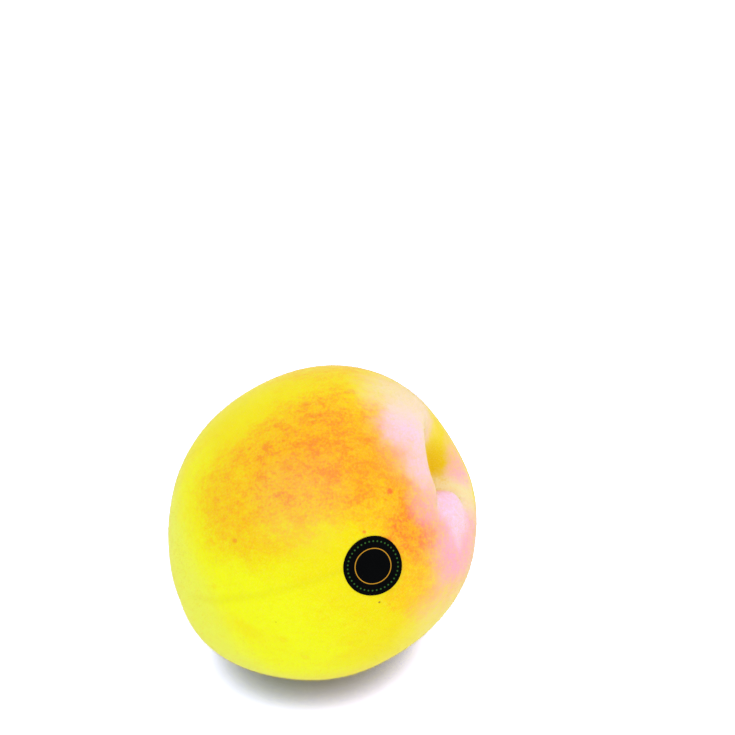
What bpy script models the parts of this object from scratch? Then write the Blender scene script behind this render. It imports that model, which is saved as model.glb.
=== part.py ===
# A ripe yellow peach lying on its cheek, with a plain round label on its skin.
# Metres, +Z up. The fruit rests on Z = 0 on a small pressed flat, with its stem end to +X
# and raised, and its suture facing -Y.
import math

import bmesh
import bpy
from mathutils import Matrix, Vector

# The fruit, in its own frame: stem end on +Z, suture near +X, underside cheek on +Y
BODY_LENGTH = 0.0861  # stem end to tip, before the cavity is sunk
CHEEK_WIDTH = 0.0854  # across the two cheeks
SUTURE_WIDTH = 0.0870  # from the suture to the back
STEM_FULLNESS = 2.25  # 2 is an ellipse; more gives square shoulders
TIP_FULLNESS = 2.02
TAPER = -0.012  # how much wider the stem half is than the tip half, as a share

# Swells and hollows of a grown fruit: degrees from the stem and round from +X, height, spread in degrees
SWELLS = (
    (154, 25, 0.0037, 28),  # heavy cheek beside the tip
    (60, -100, 0.0019, 34),  # full upper shoulder
    (136, -88, 0.0005, 40),
    (32, 106, -0.0008, 34),  # low shoulder on the underside
    (75, 90, -0.0017, 36),  # slack underside cheek
    (18, 88, -0.0014, 14),  # where the crowding shoulder falls away
)

# Stem cavity and its rim
CAVITY_DEPTH = 0.0168
CAVITY_RADIUS = 0.0094
CAVITY_TIGHT_RADIUS = 0.0049  # on the side where the shoulder crowds it
TIGHT_AZIMUTH = math.radians(55)  # the middle of that side, round from +X
RIM_RADIUS = 0.017
RIM_SPREAD = 0.010
RIM_WAVES = (  # waves round the rim: how many, height towards +X, height a quarter wave on
    (0, 0.0001, 0.0),
    (1, -0.0005, -0.0008),
    (2, -0.0006, -0.0009),
)
RIM_START = 0.018  # height along the axis where the cavity's shaping sets in
RIM_BLEND = 0.004

# Suture: a groove that wanders round as it runs from the cavity to the tip, deepest by the cavity
SUTURE_START = math.radians(8)
SUTURE_END = math.radians(-15)
SUTURE_WANDER = (math.radians(15), math.radians(150))  # where it starts and ends wandering, from the stem
SUTURE_HOOK = math.radians(13)  # how far it swings aside as it meets the cavity
HOOK_POLAR = math.radians(12)
HOOK_SPREAD = math.radians(18)
GROOVE_DEPTH = 0.00035
GROOVE_STEM_DEPTH = 0.0008
GROOVE_TIP_DEPTH = 0.0002
GROOVE_HALF_WIDTH = 0.0036

# Cleft that the suture cuts in the cavity's rim
CLEFT_DEPTH = 0.0020
CLEFT_RADIUS = 0.0128
CLEFT_REACH = 0.0056
CLEFT_HALF_WIDTH = 0.0033

# Scar left by the stem, at the bottom of the cavity
SCAR_RADIUS = 0.0023
SCAR_DEPTH = 0.0009
SCAR_RIM_HEIGHT = 0.0003

# Tip: a shallow dimple with a small point in it
DIMPLE_RADIUS = 0.0065
DIMPLE_DEPTH = 0.0008
NIB_RADIUS = 0.0011
NIB_HEIGHT = 0.0008

# How the fruit lies
STEM_RISE = math.radians(32)  # stem axis above the floor
SUTURE_ROLL = math.radians(18)  # suture above the horizon, seen from -Y
PRESS_DEPTH = 0.0008  # how far the resting spot is pressed flat
PRESS_BLEND = 0.0003

# Round paper label
LABEL_RADIUS = 0.0082
LABEL_THICKNESS = 0.0002
LABEL_GAP = 0.0003
LABEL_POLAR = math.radians(61.5)  # its centre, from the stem end
LABEL_AZIMUTH = math.radians(5)  # and round from +X

# Mesh density: rings crowd towards stem and tip, segments towards the suture
SEGMENTS = 64
RINGS = 56
RING_CROWDING = 0.6
SEGMENT_CROWDING = 0.5
LABEL_STEPS = 40
LABEL_RINGS = 5


def bell(distance, width):
    return math.exp(-((distance / width) ** 2))


def sphere_direction(polar, azimuth):
    return Vector((
        math.sin(polar) * math.cos(azimuth),
        math.sin(polar) * math.sin(azimuth),
        math.cos(polar),
    ))


def body_radius(polar, azimuth):
    """Distance from the middle to the plain body, with no cavity, groove or tip."""
    along, across = math.cos(polar), math.sin(polar)
    stem_share = 0.5 + 0.5 * max(-1.0, min(1.0, 1.4 * along))
    fullness = TIP_FULLNESS + (STEM_FULLNESS - TIP_FULLNESS) * stem_share
    half_width = 1 / math.hypot(
        math.cos(azimuth) / (SUTURE_WIDTH / 2), math.sin(azimuth) / (CHEEK_WIDTH / 2)
    )
    half_width *= 1 + TAPER * along
    radius = (
        abs(across / half_width) ** fullness + abs(along / (BODY_LENGTH / 2)) ** fullness
    ) ** (-1 / fullness)
    direction = sphere_direction(polar, azimuth)
    for swell_polar, swell_azimuth, height, spread in SWELLS:
        towards = sphere_direction(math.radians(swell_polar), math.radians(swell_azimuth))
        radius += height * bell(direction.angle(towards, 0), math.radians(spread))
    return radius


def suture_azimuth(polar):
    start, end = SUTURE_WANDER
    share = max(0.0, min(1.0, (polar - start) / (end - start)))
    drift = SUTURE_START + (SUTURE_END - SUTURE_START) * share**2 * (3 - 2 * share)
    return drift + SUTURE_HOOK * bell(polar - HOOK_POLAR, HOOK_SPREAD)


def cavity_radius(azimuth):
    tight = max(0.0, math.cos(azimuth - TIGHT_AZIMUTH)) ** 3
    return CAVITY_RADIUS + (CAVITY_TIGHT_RADIUS - CAVITY_RADIUS) * tight


def fruit_point(polar, from_suture):
    """A point of the skin in the fruit's own frame, by its angles from the stem and from the suture."""
    azimuth = suture_azimuth(polar) + from_suture
    radius = body_radius(polar, azimuth)
    end_depth = GROOVE_STEM_DEPTH if math.cos(polar) > 0 else GROOVE_TIP_DEPTH
    groove = GROOVE_DEPTH + (end_depth - GROOVE_DEPTH) * math.cos(polar) ** 2
    radius -= groove * bell(radius * math.sin(polar) * from_suture, GROOVE_HALF_WIDTH)

    out = radius * math.sin(polar)
    up = radius * math.cos(polar)
    if up > 0:
        rim = sum(
            towards_x * math.cos(waves * azimuth) + quarter_on * math.sin(waves * azimuth)
            for waves, towards_x, quarter_on in RIM_WAVES
        )
        rim *= bell(out - RIM_RADIUS, RIM_SPREAD)
        bowl = CAVITY_DEPTH * bell(out, cavity_radius(azimuth))
        cleft = CLEFT_DEPTH * bell(out - CLEFT_RADIUS, CLEFT_REACH)
        cleft *= bell(out * from_suture, CLEFT_HALF_WIDTH)
        scar = SCAR_DEPTH * bell(out, SCAR_RADIUS)
        scar -= SCAR_RIM_HEIGHT * bell(out - 1.5 * SCAR_RADIUS, SCAR_RADIUS / 2)
        shaping = 1 / (1 + math.exp((RIM_START - up) / RIM_BLEND))
        up += shaping * (rim - bowl - cleft - scar)
    else:
        up += DIMPLE_DEPTH * bell(out, DIMPLE_RADIUS) - NIB_HEIGHT * bell(out, NIB_RADIUS)
    return Vector((out * math.cos(azimuth), out * math.sin(azimuth), up))


def lying_rotation():
    """Turns the fruit's own frame to the way it lies: stem towards +X and raised, suture towards -Y."""
    stem = Vector((math.cos(STEM_RISE), 0, math.sin(STEM_RISE)))
    across = Vector((0, -1, 0))
    upward = Vector((-math.sin(STEM_RISE), 0, math.cos(STEM_RISE)))
    suture = math.cos(SUTURE_ROLL) * across + math.sin(SUTURE_ROLL) * upward
    return Matrix((suture, stem.cross(suture), stem)).transposed()


def skin_material(name, colour, roughness):
    material = bpy.data.materials.new(name)
    material.use_nodes = True
    shader = material.node_tree.nodes["Principled BSDF"]
    shader.inputs["Base Color"].default_value = (*colour, 1)
    shader.inputs["Roughness"].default_value = roughness
    shader.inputs["Metallic"].default_value = 0
    return material


def press_flat(mesh, upward):
    """Flattens the lowest part of the mesh, square to upward, and returns the height of the flat."""
    level = min(vertex.co.dot(upward) for vertex in mesh.verts) + PRESS_DEPTH
    for vertex in mesh.verts:
        height = vertex.co.dot(upward)
        above = height - (level - PRESS_BLEND)
        if above <= 0:
            pressed = level
        elif above < 2 * PRESS_BLEND:
            pressed = level + above**2 / (4 * PRESS_BLEND)
        else:
            pressed = height
        vertex.co += (pressed - height) * upward
    return level


def make_peach(collection):
    rotation = lying_rotation()
    upward = rotation.transposed() @ Vector((0, 0, 1))
    mesh = bmesh.new()
    bmesh.ops.create_uvsphere(mesh, u_segments=SEGMENTS, v_segments=RINGS, radius=1)
    for vertex in mesh.verts:
        polar = math.acos(max(-1.0, min(1.0, vertex.co.z)))
        from_suture = math.atan2(vertex.co.y, vertex.co.x)
        polar -= RING_CROWDING / 2 * math.sin(2 * polar)
        from_suture -= SEGMENT_CROWDING * math.sin(from_suture)
        vertex.co = fruit_point(polar, from_suture)
    level = press_flat(mesh, upward)

    placed = [rotation @ vertex.co for vertex in mesh.verts]
    middle = [(min(p[axis] for p in placed) + max(p[axis] for p in placed)) / 2 for axis in (0, 1)]
    data = bpy.data.meshes.new("peach")
    mesh.to_mesh(data)
    mesh.free()
    data.shade_smooth()
    peach = bpy.data.objects.new("peach", data)
    peach.matrix_world = Matrix.Translation((-middle[0], -middle[1], -level)) @ rotation.to_4x4()
    data.materials.append(skin_material("peach_skin", (0.93, 0.66, 0.06), 0.75))
    collection.objects.link(peach)
    return peach


def make_label(collection, peach):
    """A disc turned from a straight line, laid on the skin and given its thickness."""
    normal = sphere_direction(LABEL_POLAR, LABEL_AZIMUTH)
    data = bpy.data.meshes.new("label")
    radii = [LABEL_RADIUS * i / LABEL_RINGS for i in range(LABEL_RINGS, -1, -1)]
    data.from_pydata([(r, 0, 0) for r in radii], [(i, i + 1) for i in range(LABEL_RINGS)], [])
    label = bpy.data.objects.new("label", data)
    label.parent = peach
    label.matrix_parent_inverse = Matrix.Identity(4)
    label.location = normal * body_radius(LABEL_POLAR, LABEL_AZIMUTH) * 1.1
    label.rotation_mode = "QUATERNION"
    label.rotation_quaternion = normal.to_track_quat("Z", "Y")
    data.materials.append(skin_material("label_paper", (0.012, 0.013, 0.014), 0.4))
    collection.objects.link(label)

    turn = label.modifiers.new("turn", "SCREW")
    turn.axis = "Z"
    turn.steps = turn.render_steps = LABEL_STEPS
    turn.use_merge_vertices = True
    turn.merge_threshold = 1e-5
    lay = label.modifiers.new("lay on the skin", "SHRINKWRAP")
    lay.target = peach
    lay.wrap_method = "PROJECT"
    lay.use_project_z = True
    lay.use_negative_direction = True
    lay.use_positive_direction = False
    lay.offset = LABEL_GAP
    thicken = label.modifiers.new("paper", "SOLIDIFY")
    thicken.thickness = LABEL_THICKNESS
    thicken.offset = 1
    return label


def main():
    for old in list(bpy.data.objects):
        bpy.data.objects.remove(old, do_unlink=True)
    collection = bpy.data.collections.new("peach")
    bpy.context.scene.collection.children.link(collection)
    peach = make_peach(collection)
    make_label(collection, peach)


main()
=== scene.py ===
import math

import bpy
import numpy as np
from mathutils import Matrix, Vector


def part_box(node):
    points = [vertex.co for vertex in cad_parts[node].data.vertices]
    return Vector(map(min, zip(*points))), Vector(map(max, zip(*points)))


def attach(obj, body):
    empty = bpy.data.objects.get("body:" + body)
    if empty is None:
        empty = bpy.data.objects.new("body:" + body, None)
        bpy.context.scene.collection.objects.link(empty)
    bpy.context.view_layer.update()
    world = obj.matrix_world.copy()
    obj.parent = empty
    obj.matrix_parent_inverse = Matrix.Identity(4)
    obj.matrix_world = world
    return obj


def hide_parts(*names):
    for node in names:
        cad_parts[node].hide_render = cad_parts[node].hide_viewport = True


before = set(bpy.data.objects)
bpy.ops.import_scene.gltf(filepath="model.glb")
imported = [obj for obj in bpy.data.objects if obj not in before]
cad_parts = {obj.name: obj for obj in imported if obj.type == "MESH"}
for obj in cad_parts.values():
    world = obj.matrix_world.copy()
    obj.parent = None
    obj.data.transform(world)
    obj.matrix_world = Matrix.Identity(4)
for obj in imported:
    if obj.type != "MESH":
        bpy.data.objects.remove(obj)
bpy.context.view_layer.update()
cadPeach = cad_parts["peach"]
print("frame loaded")

# How the fruit lies. A place on it is given as two angles in degrees: from the stem, and round
# the stem from the front, towards the underside.
lie = {
    "stemRise": 32,  # degrees
    "frontRoll": 18,
    "centreDrop": 0.0014,  # the fruit's middle is this far under its box's middle
}


def fruitAxes():
    rise, roll = math.radians(lie["stemRise"]), math.radians(lie["frontRoll"])
    stem = Vector((math.cos(rise), 0, math.sin(rise)))
    upward = Vector((-math.sin(rise), 0, math.cos(rise)))
    front = math.cos(roll) * Vector((0, -1, 0)) + math.sin(roll) * upward
    return stem, front, stem.cross(front)


def towards(fromStem, fromFront):
    stem, front, under = fruitAxes()
    polar, around = math.radians(fromStem), math.radians(fromFront)
    out = math.cos(around) * front + math.sin(around) * under
    return math.cos(polar) * stem + math.sin(polar) * out


boxLow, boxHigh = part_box("peach")
fruitCentre = (boxLow + boxHigh) / 2 - Vector((0, 0, lie["centreDrop"]))


def selectNothing():
    if bpy.context.object and bpy.context.object.mode != "OBJECT":
        bpy.ops.object.mode_set(mode="OBJECT")
    bpy.ops.object.select_all(action="DESELECT")


def onlySelect(thing):
    selectNothing()
    thing.select_set(True)
    bpy.context.view_layer.objects.active = thing


def applyModifiers(thing):
    onlySelect(thing)
    for modifier in list(thing.modifiers):
        bpy.ops.object.modifier_apply(modifier=modifier.name)


# Node helpers


def addNode(tree, kind, inputs=None, **settings):
    node = tree.nodes.new(kind)
    for name, value in settings.items():
        setattr(node, name, value)
    for key, value in (inputs or {}).items():
        if isinstance(value, bpy.types.NodeSocket):
            tree.links.new(value, node.inputs[key])
        else:
            node.inputs[key].default_value = value
    return node


def maths(tree, operation, *values, clamp=False):
    inputs = dict(enumerate(values))
    return addNode(tree, "ShaderNodeMath", inputs, operation=operation, use_clamp=clamp).outputs[0]


def times(tree, first, second, clamp=False):
    return maths(tree, "MULTIPLY", first, second, clamp=clamp)


def vectorMaths(tree, operation, *values):
    node = addNode(tree, "ShaderNodeVectorMath", dict(enumerate(values)), operation=operation)
    return node.outputs["Value" if operation == "DOT_PRODUCT" else "Vector"]


def smoothRange(tree, value, low, high, toLow=0.0, toHigh=1.0):
    inputs = {"Value": value, "From Min": low, "From Max": high, "To Min": toLow, "To Max": toHigh}
    return addNode(tree, "ShaderNodeMapRange", inputs, interpolation_type="SMOOTHSTEP").outputs["Result"]


def mixColour(tree, share, first, second):
    return addNode(tree, "ShaderNodeMix", {0: share, 6: first, 7: second}, data_type="RGBA").outputs[2]


def noise(tree, vector, size, detail=2.0, roughness=0.5):
    inputs = {"Vector": vector, "Scale": 1 / size, "Detail": detail, "Roughness": roughness}
    return addNode(tree, "ShaderNodeTexNoise", inputs)


def useGroup(tree, group, inputs):
    return addNode(tree, "ShaderNodeGroup", inputs, node_tree=group)


def addBump(tree, shader, height, strength, distance):
    bump = addNode(tree, "ShaderNodeBump", {"Strength": strength, "Distance": distance, "Height": height})
    tree.links.new(bump.outputs[0], shader.inputs["Normal"])


def setSockets(shader, values):
    for name, value in values.items():
        shader.inputs[name].default_value = value


def colour(red, green, blue):
    # sRGB 0 to 255, made linear
    shares = [c / 255 for c in (red, green, blue)]
    linear = [c / 12.92 if c <= 0.04045 else ((c + 0.055) / 1.055) ** 2.4 for c in shares]
    return (*linear, 1)


def newMaterial(name):
    material = bpy.data.materials.new(name)
    material.use_nodes = True
    return material, material.node_tree, material.node_tree.nodes["Principled BSDF"]


def newGroup(name, inputs, outputs):
    group = bpy.data.node_groups.new(name, "ShaderNodeTree")
    for inOut, sockets in (("INPUT", inputs), ("OUTPUT", outputs)):
        for socket, kind in sockets.items():
            group.interface.new_socket(socket, in_out=inOut, socket_type="NodeSocket" + kind)
    start, end = group.nodes.new("NodeGroupInput"), group.nodes.new("NodeGroupOutput")
    return group, start.outputs, end.inputs


# Shared effects


def fineGrainGroup():
    inputs = {"Vector": "Vector", "Scale": "Float", "Depth": "Float"}
    group, given, result = newGroup("fineGrain", inputs, {"Height": "Float", "Mask": "Float"})
    inputs = {"Vector": given["Vector"], "Scale": given["Scale"], "Detail": 5.0, "Roughness": 0.6}
    grain = addNode(group, "ShaderNodeTexNoise", inputs).outputs["Fac"]
    group.links.new(times(group, grain, given["Depth"]), result["Height"])
    group.links.new(smoothRange(group, grain, 0.35, 0.65), result["Mask"])
    return group


def patchGroup():
    # a soft round patch on the skin, round a direction from the fruit's middle
    spread = {"Inner": "Float", "Outer": "Float", "Strength": "Float"}
    inputs = {"Direction": "Vector", "Towards": "Vector", **spread}
    group, given, result = newGroup("skinPatch", inputs, {"Mask": "Float"})
    facing = vectorMaths(group, "DOT_PRODUCT", given["Direction"], given["Towards"])
    mask = smoothRange(group, facing, given["Outer"], given["Inner"])
    group.links.new(times(group, mask, given["Strength"]), result["Mask"])
    return group


def specksGroup():
    # small round marks of several sizes, in a share of the cells of a random net
    inputs = {"Vector": "Vector", "Scale": "Float", "Radius": "Float", "Share": "Float"}
    group, given, result = newGroup("specks", inputs, {"Mask": "Float"})
    inputs = {"Vector": given["Vector"], "Scale": given["Scale"]}
    cells = addNode(group, "ShaderNodeTexVoronoi", inputs)
    chance = addNode(group, "ShaderNodeSeparateColor", {0: cells.outputs["Color"]})
    chosen = maths(group, "LESS_THAN", chance.outputs[0], given["Share"])
    radius = times(group, given["Radius"], maths(group, "ADD", chance.outputs[1], 0.4))
    inside = maths(group, "DIVIDE", cells.outputs["Distance"], radius)
    group.links.new(times(group, smoothRange(group, inside, 1.0, 0.3), chosen), result["Mask"])
    return group


fineGrain, skinPatch, specks = fineGrainGroup(), patchGroup(), specksGroup()
print("shared effects made")

# The peach's skin

skin = {
    "mergeWithin": 1e-6,
    "smoothing": 2,
    "unevenness": 0.00018,
    "unevennessSize": 0.010,
    "yellow": colour(246, 234, 12),
    "lemon": colour(248, 255, 22),
    "sun": colour(249, 226, 12),
    "gold": colour(249, 218, 18),
    "apricot": colour(252, 198, 24),
    "orange": colour(253, 170, 32),
    "red": colour(246, 120, 50),
    # cream, lilac and pale paint the down's sheen and highlights as colour; pink is the skin's own, made
    # paler as painted sheen
    "cream": colour(252, 217, 218),
    "pink": colour(253, 171, 203),
    "lilac": colour(250, 212, 242),
    "pale": colour(246, 228, 176),
    "bark": colour(150, 108, 40),
    "velvet": colour(255, 240, 214),
    # cavityGold and farGold: deeper gold in and round the cavity, partly the skin's own, partly painted
    # shade
    "cavityGold": colour(236, 198, 16),
    "farGold": colour(242, 214, 66),
    # edge: paler tone round the tip, painted rim sheen
    "edge": colour(238, 246, 90),
    # sutureGreen: the suture's greener tint, darkened as painted shade of its groove
    "sutureGreen": colour(226, 216, 14),
    "blushStops": {"yellow": 0.0, "gold": 0.3, "apricot": 0.6, "orange": 0.95},
    "blushCover": 3.0,  # how soon the blush hides the ground
    # noise: sizes in metres, and shares of the mottling
    "edgeSize": 0.009,  # uneven edges of the patches
    "edgePush": 0.22,
    "markPush": 0.055,  # the same for small marks
    "drawnOut": 0.6,  # under 1, the mottling is longer from side to side
    "blotchSize": 0.0045,
    "streakSize": 0.0017,
    "poreSize": 0.0007,
    "blotchShare": 0.32,
    "streakShare": 0.30,
    "poreShare": 0.38,
    "mottling": 1.06,
    "mottleReach": (0.5, 1.9),  # on bare ground, and in the full blush
    "fullBlush": 0.7,
    "cloudSize": 0.016,
    "cloudRange": (0.48, 0.72),
    "cloudShare": 0.45,
    "gatherRange": (-0.06, 0.28),  # mottling that the red gathers in
    "gatherLeast": 0.12,
    "redMarks": {"Scale": 260, "Radius": 0.15, "Share": 0.3},
    "redMarkShare": 0.6,
    "paleMarks": {"Scale": 170, "Radius": 0.22, "Share": 0.22},
    "paleMarkShare": 0.3,
    "sutureEnds": ((52, 4), (125, -11)),
    "sutureWidth": 0.05,
    "sutureShare": 0.22,
    "paintedSheenStreaks": 0.9,  # how far streaks and pores break up the painted sheen
    "paintedSheenPores": 1.25,
    "paintedSheenLess": 0.16,
    "paintedSheenFalloff": 1.7,
    "napSize": 0.00045,
    "napRange": (0.45, 0.75),
    "velvetShare": 0.06,
    "grainScale": 1400,
    "roughness": (0.62, 0.78),
    "blotchHeight": 1.5,
    "bump": (0.35, 0.0002),  # strength, depth
    "specular": 0.06,
    "sheen": 0.8,
    "sheenRoughness": 0.3,
    "sheenTint": (1, 0.98, 0.45, 1),
    "subsurface": 0.08,
    "subsurfaceRadius": (1, 0.55, 0.15),
    "subsurfaceScale": 0.003,
    # patches: from the stem, round from the front, inner and outer spread in degrees, strength
    "blushPatches": [
        (47, -44, 0, 32, 0.50),  # upper cheek, in front
        (63, -49, 0, 34, 0.58),
        (86, -40, 0, 34, 0.42),  # towards the tip
        (102, -46, 0, 30, 0.14),
        (46, -22, 0, 24, 0.34),
        (33, -38, 0, 22, 0.66),  # under the painted sheen on the shoulder
        (42, 2, 0, 17, 0.85),  # along the suture, above the label
        (41, 36, 0, 30, 0.48),  # right of the label
        (50, 28, 0, 17, 0.18),
        (38, 84, 0, 32, 0.34),  # round the shoulder's underside
        (60, 18, 0, 42, 0.14),
        (56, -130, 0, 56, 0.42),  # back of the upper cheek
        (96, 150, 0, 52, 0.38),  # back
        (118, -150, 0, 40, 0.20),
    ],
    "redPatches": [
        (42, 3, 0, 14, 1.0),
        (56, -52, 0, 40, 0.48),
        (90, -46, 0, 30, 0.30),
        (36, 30, 0, 14, 0.35),
        (60, -120, 0, 40, 0.30),
    ],
    # painted sheen, in whitish cream
    "creamPatches": [
        (13, -95, 6, 38, 1.0),  # painted sheen on the shoulder in front of the cavity
        (23, -56, 0, 18, 0.35),
        (30, 62, 10, 42, 0.20),
        (52, 64, 0, 34, 0.44),  # painted sheen round the fruit's lower right
    ],
    # the skin's own pink, made paler by painted sheen
    "pinkPatches": [
        (21, 62, 6, 36, 0.95),  # shoulder under the cleft: the skin's pink with painted sheen
        (31, -2, 0, 12, 0.55),  # edge of the cleft
        (28, -38, 0, 18, 0.34),
        (36, 38, 0, 15, 0.60),
        (31, 62, 0, 14, 0.40),
        (73, -31, 0, 25, 0.2),  # a breath of it in the blush
    ],
    # painted highlight, lilac-white
    "lilacPatches": [
        (20, 46, 0, 17, 0.95),
        (22, 78, 0, 13, 0.35),
        (29, -62, 0, 14, 0.80),
        (26, -24, 0, 9, 0.65),  # painted highlight on the cavity's near lip
    ],
    "palePatches": [
        (17, 116, 0, 13, 1.0),  # painted light where the shoulder dips into the cavity
        (34, -90, 2, 18, 0.5),  # top of the painted sheen
    ],
    "farPatches": [
        (34, 170, 19, 32, 1.0),  # past the cavity the painted sheen ends
    ],
    "farGoldPatches": [
        (20, 176, 0, 15, 0.60),  # rim past the cavity: deeper gold, partly painted shade
        (22, -146, 0, 13, 0.45),
    ],
    # the cavity's deeper gold, partly painted shade
    "cavityPatches": [
        (0, 0, 5, 12, 1.0),
        (8, 165, 5, 13, 1.0),
    ],
    "streakPatches": [
        (21, -178, 0, 5, 0.20),  # along the far rim
        (20, 170, 0, 5, 0.34),
        (19.5, 160, 0, 5, 0.40),
        (18.5, 151, 0, 5, 0.46),
        (19, 142, 0, 5, 0.48),
        (21, 134, 0, 5, 0.30),
    ],
    "edgePatches": [
        (180, 0, 44, 64, 0.8),  # paler round the tip, as painted rim sheen
    ],
    "lemonPatches": [
        (117, 12, 6, 52, 1.0),  # lower cheek near the tip
        (150, -50, 20, 60, 0.8),
    ],
    "suturePatches": [
        (96, -6, 26, 56, 1.0),  # where its line shows
    ],
    "barkPatches": [
        (0, 0, 1.5, 5.5, 0.8),  # the stem's scar
        (180, 0, 0.2, 1.4, 0.7),  # the tip's point
        (67.5, 19.5, 0.1, 0.55, 0.9),  # a speck
        (103, 6, 0.1, 0.5, 0.25),
    ],
    "spotPatches": [  # small red ones
        (43, -19.5, 0.2, 1.6, 0.9),
        (46, -17, 0.1, 0.9, 0.6),
        (58, -9, 0.1, 0.9, 0.7),
        (54, -46, 0.5, 3.2, 0.35),
        (74, -45, 0.5, 3.4, 0.35),
        (39, -40, 0.3, 3.0, 0.15),
        (65, -63, 0.4, 2.2, 0.3),
        (102, -28, 0.2, 1.2, 0.45),
    ],
    "spotRange": (0.2, 0.6),  # streaks that a red spot shows in
}


def makeSkin():
    piece = bpy.data.objects.new("peachSkin", cadPeach.data.copy())
    bpy.context.scene.collection.objects.link(piece)
    onlySelect(piece)
    bpy.ops.object.mode_set(mode="EDIT")
    bpy.ops.mesh.select_all(action="SELECT")
    bpy.ops.mesh.remove_doubles(threshold=skin["mergeWithin"])
    bpy.ops.mesh.tris_convert_to_quads()
    bpy.ops.object.mode_set(mode="OBJECT")

    smooth = piece.modifiers.new("smooth", "SUBSURF")
    smooth.levels = smooth.render_levels = skin["smoothing"]
    lumps = bpy.data.textures.new("lumps", "CLOUDS")
    lumps.noise_scale = skin["unevennessSize"]
    uneven = piece.modifiers.new("uneven", "DISPLACE")
    uneven.texture = lumps
    uneven.texture_coords = "LOCAL"
    uneven.strength = skin["unevenness"]
    applyModifiers(piece)
    for vertex in piece.data.vertices:
        vertex.co.z = max(vertex.co.z, 0)  # the resting spot stays on the floor
    bpy.ops.object.shade_smooth()
    return piece


def patchMask(tree, direction, patches):
    total = None
    for fromStem, fromFront, inner, outer, strength in skin[patches]:
        inputs = {
            "Direction": direction,
            "Towards": towards(fromStem, fromFront),
            "Inner": math.cos(math.radians(inner)),
            "Outer": math.cos(math.radians(outer)),
            "Strength": strength,
        }
        mask = useGroup(tree, skinPatch, inputs).outputs["Mask"]
        if total is None:
            total = mask
        else:  # the sum less the product, so that patches join softly
            both = times(tree, total, mask)
            total = maths(tree, "SUBTRACT", maths(tree, "ADD", total, mask), both)
    return total


def skinDirections(tree, place, fromMiddle):
    # straight out, and pushed about by noise, so that patches and marks get soft uneven edges
    straight = vectorMaths(tree, "NORMALIZE", fromMiddle)
    uneven = noise(tree, place, skin["edgeSize"], detail=4, roughness=0.6).outputs["Color"]
    push = vectorMaths(tree, "SUBTRACT", uneven, (0.5,) * 3)
    directions = [straight]
    for amount in (skin["edgePush"], skin["markPush"]):
        pushed = vectorMaths(tree, "ADD", straight, vectorMaths(tree, "MULTIPLY", push, (amount,) * 3))
        directions.append(vectorMaths(tree, "NORMALIZE", pushed))
    return directions


def skinPattern(tree, place, fromMiddle):
    stem, front, under = fruitAxes()
    turn = Matrix((stem, front, under)).to_euler()
    inputs = {"Vector": fromMiddle, "Rotation": turn, "Scale": (skin["drawnOut"], 1, 1)}
    drawnOut = addNode(tree, "ShaderNodeMapping", inputs).outputs[0]
    return {
        "drawnOut": drawnOut,
        "blotches": noise(tree, drawnOut, skin["blotchSize"]).outputs["Fac"],
        "streaks": noise(tree, drawnOut, skin["streakSize"]).outputs["Fac"],
        "pores": noise(tree, place, skin["poreSize"]).outputs["Fac"],
    }


def skinMottling(tree, blush, pattern):
    # strongest in the blush
    mottle = times(tree, pattern["blotches"], skin["blotchShare"])
    mottle = maths(tree, "MULTIPLY_ADD", pattern["streaks"], skin["streakShare"], mottle)
    mottle = maths(tree, "MULTIPLY_ADD", pattern["pores"], skin["poreShare"], mottle)
    reach = smoothRange(tree, blush, 0.0, skin["fullBlush"], *skin["mottleReach"])
    return times(tree, maths(tree, "SUBTRACT", mottle, 0.5), times(tree, reach, skin["mottling"]))


def yellowGround(tree, pushed, drawnOut):
    clouds = noise(tree, drawnOut, skin["cloudSize"], detail=3, roughness=0.55).outputs["Fac"]
    clouds = smoothRange(tree, clouds, *skin["cloudRange"], 0.0, skin["cloudShare"])
    ground = mixColour(tree, patchMask(tree, pushed, "lemonPatches"), skin["yellow"], skin["lemon"])
    ground = mixColour(tree, clouds, ground, skin["sun"])
    # paler round the tip: painted rim sheen
    return mixColour(tree, patchMask(tree, pushed, "edgePatches"), ground, skin["edge"])


def addBlush(tree, ground, amount):
    ramp = addNode(tree, "ShaderNodeValToRGB", {"Fac": amount})
    stops = skin["blushStops"]
    while len(ramp.color_ramp.elements) < len(stops):
        ramp.color_ramp.elements.new(0.5)
    for element, (name, position) in zip(ramp.color_ramp.elements, stops.items()):
        element.position = position
        element.color = skin[name]
    cover = times(tree, amount, skin["blushCover"], clamp=True)
    return mixColour(tree, cover, ground, ramp.outputs["Color"])


def addRed(tree, under, place, pattern, redness, amount, mottle):
    # red gathers in the mottling's darker places, and in small marks
    gathered = smoothRange(tree, mottle, *skin["gatherRange"], skin["gatherLeast"], 1.0)
    under = mixColour(tree, times(tree, redness, gathered), under, skin["red"])
    marks = useGroup(tree, specks, {"Vector": pattern["drawnOut"], **skin["redMarks"]}).outputs["Mask"]
    share = times(tree, marks, times(tree, amount, skin["redMarkShare"]))
    under = mixColour(tree, share, under, skin["red"])
    marks = useGroup(tree, specks, {"Vector": place, **skin["paleMarks"]}).outputs["Mask"]
    return mixColour(tree, times(tree, marks, skin["paleMarkShare"]), under, skin["gold"])


def addSuture(tree, under, straight, finePushed):
    # the suture shows as a faint greener, darker line: its own tint, with painted shade of its groove
    start, end = (towards(*place) for place in skin["sutureEnds"])
    acrossSuture = start.cross(end).normalized()
    fromSuture = maths(tree, "ABSOLUTE", vectorMaths(tree, "DOT_PRODUCT", finePushed, acrossSuture))
    line = times(tree, smoothRange(tree, fromSuture, skin["sutureWidth"], 0.0), skin["sutureShare"])
    line = times(tree, line, patchMask(tree, straight, "suturePatches"))
    return mixColour(tree, line, under, skin["sutureGreen"])


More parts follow.
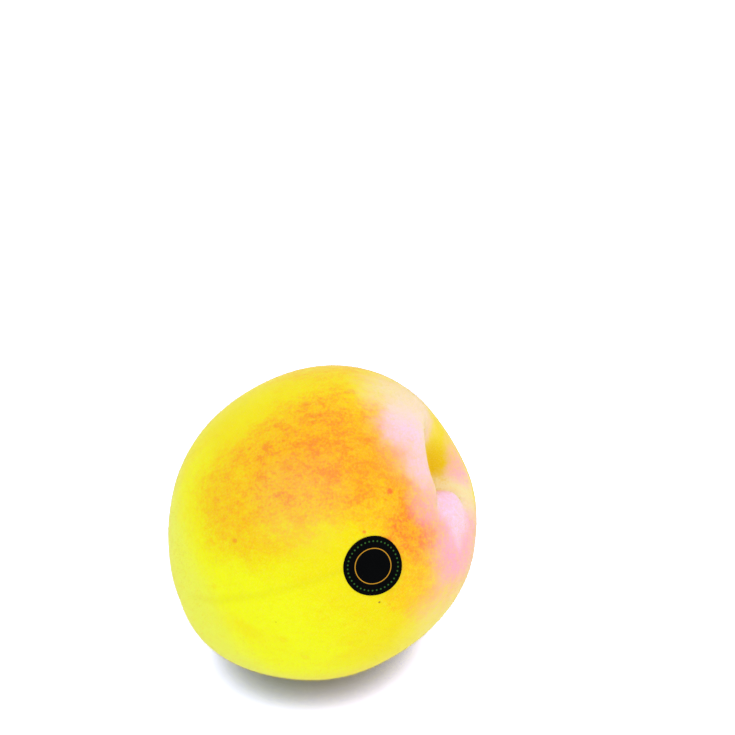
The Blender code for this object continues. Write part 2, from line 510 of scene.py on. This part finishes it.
def addPaintedSheenAndCavityShade(tree, under, directions, pattern):
    # painted sheen round the cavity in cream, pink and lilac (the pink partly the skin's own), the cavity's
    # gold partly painted shade, painted light where the shoulder dips, and a pink streak
    straight, pushed, finePushed = directions
    near = maths(tree, "SUBTRACT", 1.0, patchMask(tree, pushed, "farPatches"))
    broken = maths(tree, "MULTIPLY_ADD", pattern["streaks"], skin["paintedSheenStreaks"], -skin["paintedSheenLess"])
    broken = maths(tree, "MULTIPLY_ADD", pattern["pores"], skin["paintedSheenPores"], broken)
    # cream and lilac are painted sheen and highlight; pink is the skin's pink, made paler as painted sheen
    for name in ("cream", "pink", "lilac"):
        mask = maths(tree, "POWER", patchMask(tree, pushed, name + "Patches"), skin["paintedSheenFalloff"])
        share = times(tree, times(tree, mask, near), broken, clamp=True)
        under = mixColour(tree, share, under, skin[name])
    # deeper gold on the far rim and in the cavity, partly painted shade
    under = mixColour(tree, patchMask(tree, pushed, "farGoldPatches"), under, skin["farGold"])
    under = mixColour(tree, patchMask(tree, straight, "cavityPatches"), under, skin["cavityGold"])
    # painted light where the shoulder dips into the cavity, and at the top of the painted sheen
    pale = times(tree, patchMask(tree, pushed, "palePatches"), broken, clamp=True)
    under = mixColour(tree, pale, under, skin["pale"])
    streak = times(tree, patchMask(tree, finePushed, "streakPatches"), broken, clamp=True)
    return mixColour(tree, streak, under, skin["pink"])


def addMarks(tree, under, place, straight, finePushed, streaks):
    spots = patchMask(tree, finePushed, "spotPatches")
    spots = times(tree, spots, smoothRange(tree, streaks, *skin["spotRange"]))
    under = mixColour(tree, spots, under, skin["red"])
    under = mixColour(tree, patchMask(tree, straight, "barkPatches"), under, skin["bark"])
    # the down's own pale grain
    nap = noise(tree, place, skin["napSize"], roughness=0.6).outputs["Fac"]
    nap = smoothRange(tree, nap, *skin["napRange"], 0.0, skin["velvetShare"])
    return mixColour(tree, nap, under, skin["velvet"])


def skinMaterial():
    material, tree, shader = newMaterial("peachSkin")
    place = addNode(tree, "ShaderNodeTexCoord").outputs["Object"]
    fromMiddle = vectorMaths(tree, "SUBTRACT", place, fruitCentre)
    directions = skinDirections(tree, place, fromMiddle)
    straight, pushed, finePushed = directions
    pattern = skinPattern(tree, place, fromMiddle)

    blush = patchMask(tree, pushed, "blushPatches")
    redness = patchMask(tree, pushed, "redPatches")
    mottle = skinMottling(tree, blush, pattern)
    amount = maths(tree, "ADD", blush, mottle, clamp=True)
    layers = addBlush(tree, yellowGround(tree, pushed, pattern["drawnOut"]), amount)
    layers = addRed(tree, layers, place, pattern, redness, amount, mottle)
    layers = addSuture(tree, layers, straight, finePushed)
    layers = addPaintedSheenAndCavityShade(tree, layers, directions, pattern)
    layers = addMarks(tree, layers, place, straight, finePushed, pattern["streaks"])
    tree.links.new(layers, shader.inputs["Base Color"])

    grain = useGroup(tree, fineGrain, {"Vector": place, "Scale": skin["grainScale"], "Depth": 1.0}).outputs
    tree.links.new(smoothRange(tree, grain["Mask"], 0, 1, *skin["roughness"]), shader.inputs["Roughness"])
    height = maths(tree, "ADD", grain["Height"], times(tree, pattern["blotches"], skin["blotchHeight"]))
    addBump(tree, shader, height, *skin["bump"])
    setSockets(shader, {
        "Specular IOR Level": skin["specular"],
        "Sheen Weight": skin["sheen"],
        "Sheen Roughness": skin["sheenRoughness"],
        "Sheen Tint": skin["sheenTint"],
        "Subsurface Weight": skin["subsurface"],
        "Subsurface Radius": skin["subsurfaceRadius"],
        "Subsurface Scale": skin["subsurfaceScale"],
    })
    return material


peachSkin = makeSkin()
peachSkin.data.materials.clear()
peachSkin.data.materials.append(skinMaterial())
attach(peachSkin, "root")
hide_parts("peach")
print("skin made:", len(peachSkin.data.polygons), "faces")

# The label

label = {
    "radius": 0.0082,
    "fromStem": 61.5,
    "fromFront": 5,
    "fromCentre": 0.0435,  # how far from the fruit's middle it lies
    "layFrom": 0.05,  # where the flat disc starts, before it is laid on the skin
    "sides": 96,
    "rings": 7,
    "gap": 0.00005,
    "thickness": 0.00012,
    "softEdge": 0.3,  # share of the thickness
    "sharpAngle": 40,
    "lift": 0.0009,  # how far its loose edge stands off
    "liftFrom": 0.25,  # where the lift starts, as a share of the radius
    "looseSide": 40,  # degrees below the right of the picture
    "stretch": (0.975, 1.015),  # across and up, as the paper buckled
    "black": colour(1, 2, 3),
    "worn": colour(8, 9, 10),
    "green": colour(52, 98, 42),
    "ochre": colour(206, 150, 44),
    "dots": 38,  # round the border
    "dotsAt": 0.84,
    "dotSize": 0.034,
    "ringAt": 0.6,
    "ringWidth": 0.035,
    "wornShare": 0.35,
    "rim": (0.965, 0.99),
    "rimShare": 0.5,
    "grainScale": 2600,
    "roughness": (0.38, 0.52),
    "bump": (0.2, 0.00003),  # strength, depth
    "specular": 0.03,
}


def labelFrame():
    # its own outward, right and up directions as seen by who looks at it
    outward = towards(label["fromStem"], label["fromFront"])
    right = Vector((0, 0, 1)).cross(outward).normalized()
    return outward, right, outward.cross(right)


def labelMiddle():
    return fruitCentre + labelFrame()[0] * label["fromCentre"]


def makeLabel():
    outward, right, up = labelFrame()
    turn = Matrix((right, up, outward)).transposed()
    selectNothing()
    bpy.ops.mesh.primitive_circle_add(
        vertices=label["sides"],
        radius=label["radius"],
        fill_type="NGON",
        location=fruitCentre + outward * label["layFrom"],
        rotation=turn.to_euler(),
    )
    piece = bpy.context.object
    piece.name = piece.data.name = "fruitLabel"
    bpy.ops.object.mode_set(mode="EDIT")
    bpy.ops.mesh.select_all(action="SELECT")
    for ring in range(label["rings"]):
        bpy.ops.mesh.inset(thickness=label["radius"] / (label["rings"] + 1))
    bpy.ops.mesh.poke()
    bpy.ops.object.mode_set(mode="OBJECT")

    lay = piece.modifiers.new("lay on the skin", "SHRINKWRAP")
    lay.target = peachSkin
    lay.wrap_method = "PROJECT"
    lay.use_project_z = True
    lay.use_negative_direction = True
    lay.use_positive_direction = False
    lay.offset = label["gap"]
    applyModifiers(piece)

    angle = math.radians(label["looseSide"])
    loose = Vector((math.cos(angle), -math.sin(angle)))
    for vertex in piece.data.vertices:  # the loose edge curls off the skin
        share = (vertex.co.xy.dot(loose) / label["radius"] - label["liftFrom"]) / (1 - label["liftFrom"])
        vertex.co.z += label["lift"] * max(share, 0) ** 2
        vertex.co.x *= label["stretch"][0]
        vertex.co.y *= label["stretch"][1]

    paper = piece.modifiers.new("paper", "SOLIDIFY")
    paper.thickness = label["thickness"]
    paper.offset = 1
    soften = piece.modifiers.new("cut edge", "BEVEL")
    soften.width = label["thickness"] * label["softEdge"]
    soften.segments = 2
    soften.limit_method = "ANGLE"
    applyModifiers(piece)
    bpy.ops.object.transform_apply(location=True, rotation=True, scale=True)
    bpy.ops.object.shade_smooth_by_angle(angle=math.radians(label["sharpAngle"]))
    return piece


def labelDots(tree, across, along, radius):
    # a dot in the middle of each share of the turn
    turnShare = times(tree, maths(tree, "ARCTAN2", along, across), label["dots"] / (2 * math.pi))
    turnShare = maths(tree, "FRACT", maths(tree, "ADD", turnShare, label["dots"]))
    fromDot = maths(tree, "SUBTRACT", turnShare, 0.5)
    sideways = times(tree, fromDot, 2 * math.pi * label["dotsAt"] / label["dots"])
    outwards = maths(tree, "SUBTRACT", radius, label["dotsAt"])
    fromDot = maths(tree, "MULTIPLY_ADD", outwards, outwards, maths(tree, "POWER", sideways, 2.0))
    return smoothRange(tree, maths(tree, "SQRT", fromDot), label["dotSize"], label["dotSize"] * 0.6)


def labelMaterial():
    outward, right, up = labelFrame()
    material, tree, shader = newMaterial("labelPaper")
    place = addNode(tree, "ShaderNodeTexCoord").outputs["Object"]
    flat = vectorMaths(tree, "SUBTRACT", place, labelMiddle())
    across, along = (
        maths(tree, "DIVIDE", vectorMaths(tree, "DOT_PRODUCT", flat, side), label["radius"])
        for side in (right, up)
    )
    radius = maths(tree, "ADD", times(tree, across, across), times(tree, along, along))
    radius = maths(tree, "SQRT", radius)

    grain = useGroup(tree, fineGrain, {"Vector": place, "Scale": label["grainScale"], "Depth": 1.0}).outputs
    paper = mixColour(tree, times(tree, grain["Mask"], label["wornShare"]), label["black"], label["worn"])
    paper = mixColour(tree, labelDots(tree, across, along, radius), paper, label["green"])
    fromRing = maths(tree, "ABSOLUTE", maths(tree, "SUBTRACT", radius, label["ringAt"]))
    ring = smoothRange(tree, fromRing, label["ringWidth"] * 0.5, label["ringWidth"] * 0.3)
    paper = mixColour(tree, ring, paper, label["ochre"])
    rim = times(tree, smoothRange(tree, radius, *label["rim"]), label["rimShare"])
    paper = mixColour(tree, rim, paper, label["worn"])
    tree.links.new(paper, shader.inputs["Base Color"])
    tree.links.new(smoothRange(tree, grain["Mask"], 0, 1, *label["roughness"]), shader.inputs["Roughness"])
    addBump(tree, shader, grain["Height"], *label["bump"])
    setSockets(shader, {"Specular IOR Level": label["specular"]})
    return material


fruitLabel = makeLabel()
fruitLabel.data.materials.clear()
fruitLabel.data.materials.append(labelMaterial())
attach(fruitLabel, "root")
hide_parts("label")
print("label made:", len(fruitLabel.data.polygons), "faces")

# The down: short hairs all over the skin, in separate pieces with a tint each

down = {
    "hairs": 40000,  # in each piece
    "drawn": 1.08,  # more are drawn than kept, for those under the label and near the floor
    "length": (0.0003, 0.00085),
    "width": 0.00003,
    "lean": 42,  # most, in degrees
    "sunk": 0.00004,
    "lowestRoot": 0.0004,  # over the floor
    "lowestTip": 0.0001,
    "roundLabel": 0.0001,
    "roughness": 0.7,
    "specular": 0.2,
    "tints": {"downPale": colour(252, 232, 122), "downGold": colour(250, 222, 50)},
    "seed": 7,
}


def readRows(items, name, kind=float):
    values = np.empty(len(items) * 3, dtype=kind)
    items.foreach_get(name, values)
    return values.reshape(-1, 3)


def unit(vectors):
    return vectors / np.linalg.norm(vectors, axis=1)[:, None]


def skinSamples(count, random):
    # random points on the skin by area, with the skin's normal there
    mesh = peachSkin.data
    mesh.calc_loop_triangles()
    points = readRows(mesh.vertices, "co")
    normals = readRows(mesh.vertices, "normal")
    corners = readRows(mesh.loop_triangles, "vertices", int)
    a, b, c = (points[corners[:, i]] for i in range(3))
    areas = np.linalg.norm(np.cross(b - a, c - a), axis=1)
    picked = random.choice(len(corners), count, p=areas / areas.sum())
    u, v = random.random((2, count))
    u, v = np.where(u + v > 1, 1 - u, u), np.where(u + v > 1, 1 - v, v)
    shares = np.stack([1 - u - v, u, v], axis=1)[:, :, None]
    place = (points[corners[picked]] * shares).sum(axis=1)
    normal = (normals[corners[picked]] * shares).sum(axis=1)
    return place, unit(normal)


def makeHair():
    # one hair, a long thin cone of unit length, as its points and faces
    selectNothing()
    bpy.ops.mesh.primitive_cone_add(
        vertices=3, radius1=down["width"] / 2, radius2=0, depth=1, location=(0, 0, 0.5)
    )
    hair = bpy.context.object
    bpy.ops.object.transform_apply(location=True)
    points = np.array([vertex.co for vertex in hair.data.vertices])
    faces = [tuple(face.vertices) for face in hair.data.polygons]
    bpy.data.objects.remove(hair)
    return points, faces


def makeDown(name, seed):
    random = np.random.default_rng(seed)
    hairPoints, hairFaces = makeHair()
    place, normal = skinSamples(int(down["hairs"] * down["drawn"]), random)
    fromLabel = np.linalg.norm(place - np.array(labelMiddle()), axis=1)
    keep = (fromLabel >= label["radius"] + down["roundLabel"]) & (place[:, 2] > down["lowestRoot"])
    place, normal = place[keep][: down["hairs"]], normal[keep][: down["hairs"]]
    count = len(place)

    sideways = unit(np.cross(normal, random.normal(size=(count, 3))))
    lean = np.radians(random.uniform(0, down["lean"], count))[:, None]
    along = np.cos(lean) * normal + np.sin(lean) * sideways
    length = random.uniform(*down["length"], count)[:, None]
    tipHeight = place[:, 2:] + along[:, 2:] * length
    along[:, 2:] += np.maximum(down["lowestTip"] - tipHeight, 0) / length  # none goes through the floor
    across = unit(np.cross(along, random.normal(size=(count, 3))))
    other = np.cross(along, across)

    root = place - along * down["sunk"]
    shaped = (
        root[:, None]
        + hairPoints[None, :, 0, None] * across[:, None]
        + hairPoints[None, :, 1, None] * other[:, None]
        + hairPoints[None, :, 2, None] * (along * length)[:, None]
    )
    perHair = len(hairPoints)
    flat = np.array([corner for face in hairFaces for corner in face])
    corners = (flat[None] + perHair * np.arange(count)[:, None]).ravel()
    sizes = np.tile([len(face) for face in hairFaces], count)
    starts = np.concatenate([[0], np.cumsum(sizes)[:-1]])

    mesh = bpy.data.meshes.new(name)
    mesh.vertices.add(count * perHair)
    mesh.vertices.foreach_set("co", shaped.astype(np.float32).ravel())
    mesh.loops.add(len(corners))
    mesh.loops.foreach_set("vertex_index", corners)
    mesh.polygons.add(len(sizes))
    mesh.polygons.foreach_set("loop_start", starts)
    mesh.update(calc_edges=True)
    piece = bpy.data.objects.new(name, mesh)
    bpy.context.scene.collection.objects.link(piece)
    return piece


for number, (name, tint) in enumerate(down["tints"].items()):
    hairs = makeDown(name, down["seed"] + number)
    material, tree, shader = newMaterial(name)
    sockets = {"Base Color": tint, "Roughness": down["roughness"], "Specular IOR Level": down["specular"]}
    setSockets(shader, sockets)
    hairs.data.materials.append(material)
    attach(hairs, "root")
    print("down made:", name, len(hairs.data.polygons), "faces")

# Floor, light and camera

studio = {
    "floorSize": 6.0,
    "floorWhite": (0.95, 0.95, 0.95, 1),
    "floorGrain": (0.9405, 0.9405, 0.95, 1),
    "grainScale": 500,
    "floorRoughness": 0.9,
    "floorSpecular": 0.1,
    # the camera alone sees the floor brighter and bluer, so that the fruit's yellow bounce light in its
    # shade shows grey
    "floorSeen": (1.7, 1.72, 3.1),  # how bright the camera sees it, so that it shows white as in the photo
    "contact": 0.018,  # reach of the painted shadow under the fruit
    "contactRange": (0.2, 0.75),
    "contactDark": 0.2,
    "skyStrength": 0.98,
    "keyFrom": (0.6, -0.25, 0.7),
    "keySize": 0.45,
    "keyPower": 0.9,
}
picture = {
    "side": 735,
    "fruitAt": (323, 522),  # pixels, where the fruit's middle shows
    "aimHeight": 0.0435,
    "lookDown": 41.5,  # degrees
    "distance": 0.75,
    "lens": 130.04,
    "sensor": 36,
}


def makeFloor():
    selectNothing()
    bpy.ops.mesh.primitive_plane_add(size=studio["floorSize"])
    floor = bpy.context.object
    floor.name = "studioFloor"
    material, tree, shader = newMaterial("studioFloor")
    place = addNode(tree, "ShaderNodeTexCoord").outputs["Object"]
    grain = useGroup(tree, fineGrain, {"Vector": place, "Scale": studio["grainScale"], "Depth": 1.0})
    tint = mixColour(tree, grain.outputs["Mask"], studio["floorWhite"], studio["floorGrain"])
    # painted contact shadow: the camera's floor colour darkens where the fruit is near
    paintedContactShadow = addNode(tree, "ShaderNodeAmbientOcclusion", {"Distance": studio["contact"]}, samples=12)
    light = smoothRange(tree, paintedContactShadow.outputs["AO"], *studio["contactRange"], studio["contactDark"], 1.0)
    bright = vectorMaths(tree, "MULTIPLY", studio["floorSeen"], light)
    seen = addNode(tree, "ShaderNodeLightPath").outputs["Is Camera Ray"]
    tree.links.new(mixColour(tree, seen, tint, bright), shader.inputs["Base Color"])
    sockets = {"Roughness": studio["floorRoughness"], "Specular IOR Level": studio["floorSpecular"]}
    setSockets(shader, sockets)
    floor.data.materials.append(material)


def makeLight():
    sky = bpy.data.worlds.new("studioSky")
    bpy.context.scene.world = sky
    sky.use_nodes = True
    tree = sky.node_tree
    background = tree.nodes["Background"]
    background.inputs["Color"].default_value = (1, 1, 1, 1)
    camera = addNode(tree, "ShaderNodeLightPath").outputs["Is Camera Ray"]
    inputs = {"Value": camera, "To Min": studio["skyStrength"], "To Max": 1.0}
    strength = addNode(tree, "ShaderNodeMapRange", inputs)
    tree.links.new(strength.outputs["Result"], background.inputs["Strength"])

    bpy.ops.object.light_add(type="AREA", location=studio["keyFrom"])
    key = bpy.context.object
    key.name = "keyLight"
    key.data.size = studio["keySize"]
    key.data.energy = studio["keyPower"]
    key.rotation_euler = (fruitCentre - key.location).to_track_quat("-Z", "Y").to_euler()


def makeCamera():
    # turned so that the fruit's middle lands on its pixel
    bpy.ops.object.camera_add()
    camera = bpy.context.object
    camera.name = "photoCamera"
    camera.data.lens = picture["lens"]
    camera.data.sensor_width = picture["sensor"]
    lookDown = math.radians(picture["lookDown"])
    aim = Vector((0, 0, picture["aimHeight"]))
    camera.location = aim + picture["distance"] * Vector((0, -math.cos(lookDown), math.sin(lookDown)))
    pixelsPerUnit = picture["side"] * picture["lens"] / picture["sensor"]
    across = (picture["fruitAt"][0] - picture["side"] / 2) / pixelsPerUnit
    above = (picture["side"] / 2 - picture["fruitAt"][1]) / pixelsPerUnit
    tilt = math.acos(math.hypot(1, across, above) * math.sin(lookDown) / math.hypot(1, above))
    tilt -= math.atan(above)
    swing = math.atan2(across, above * math.cos(tilt) + math.sin(tilt))
    camera.rotation_euler = (tilt, 0, swing)
    bpy.context.scene.camera = camera
    bpy.context.scene.view_settings.view_transform = "Standard"


makeFloor()
makeLight()
makeCamera()
print("floor, light and camera made")
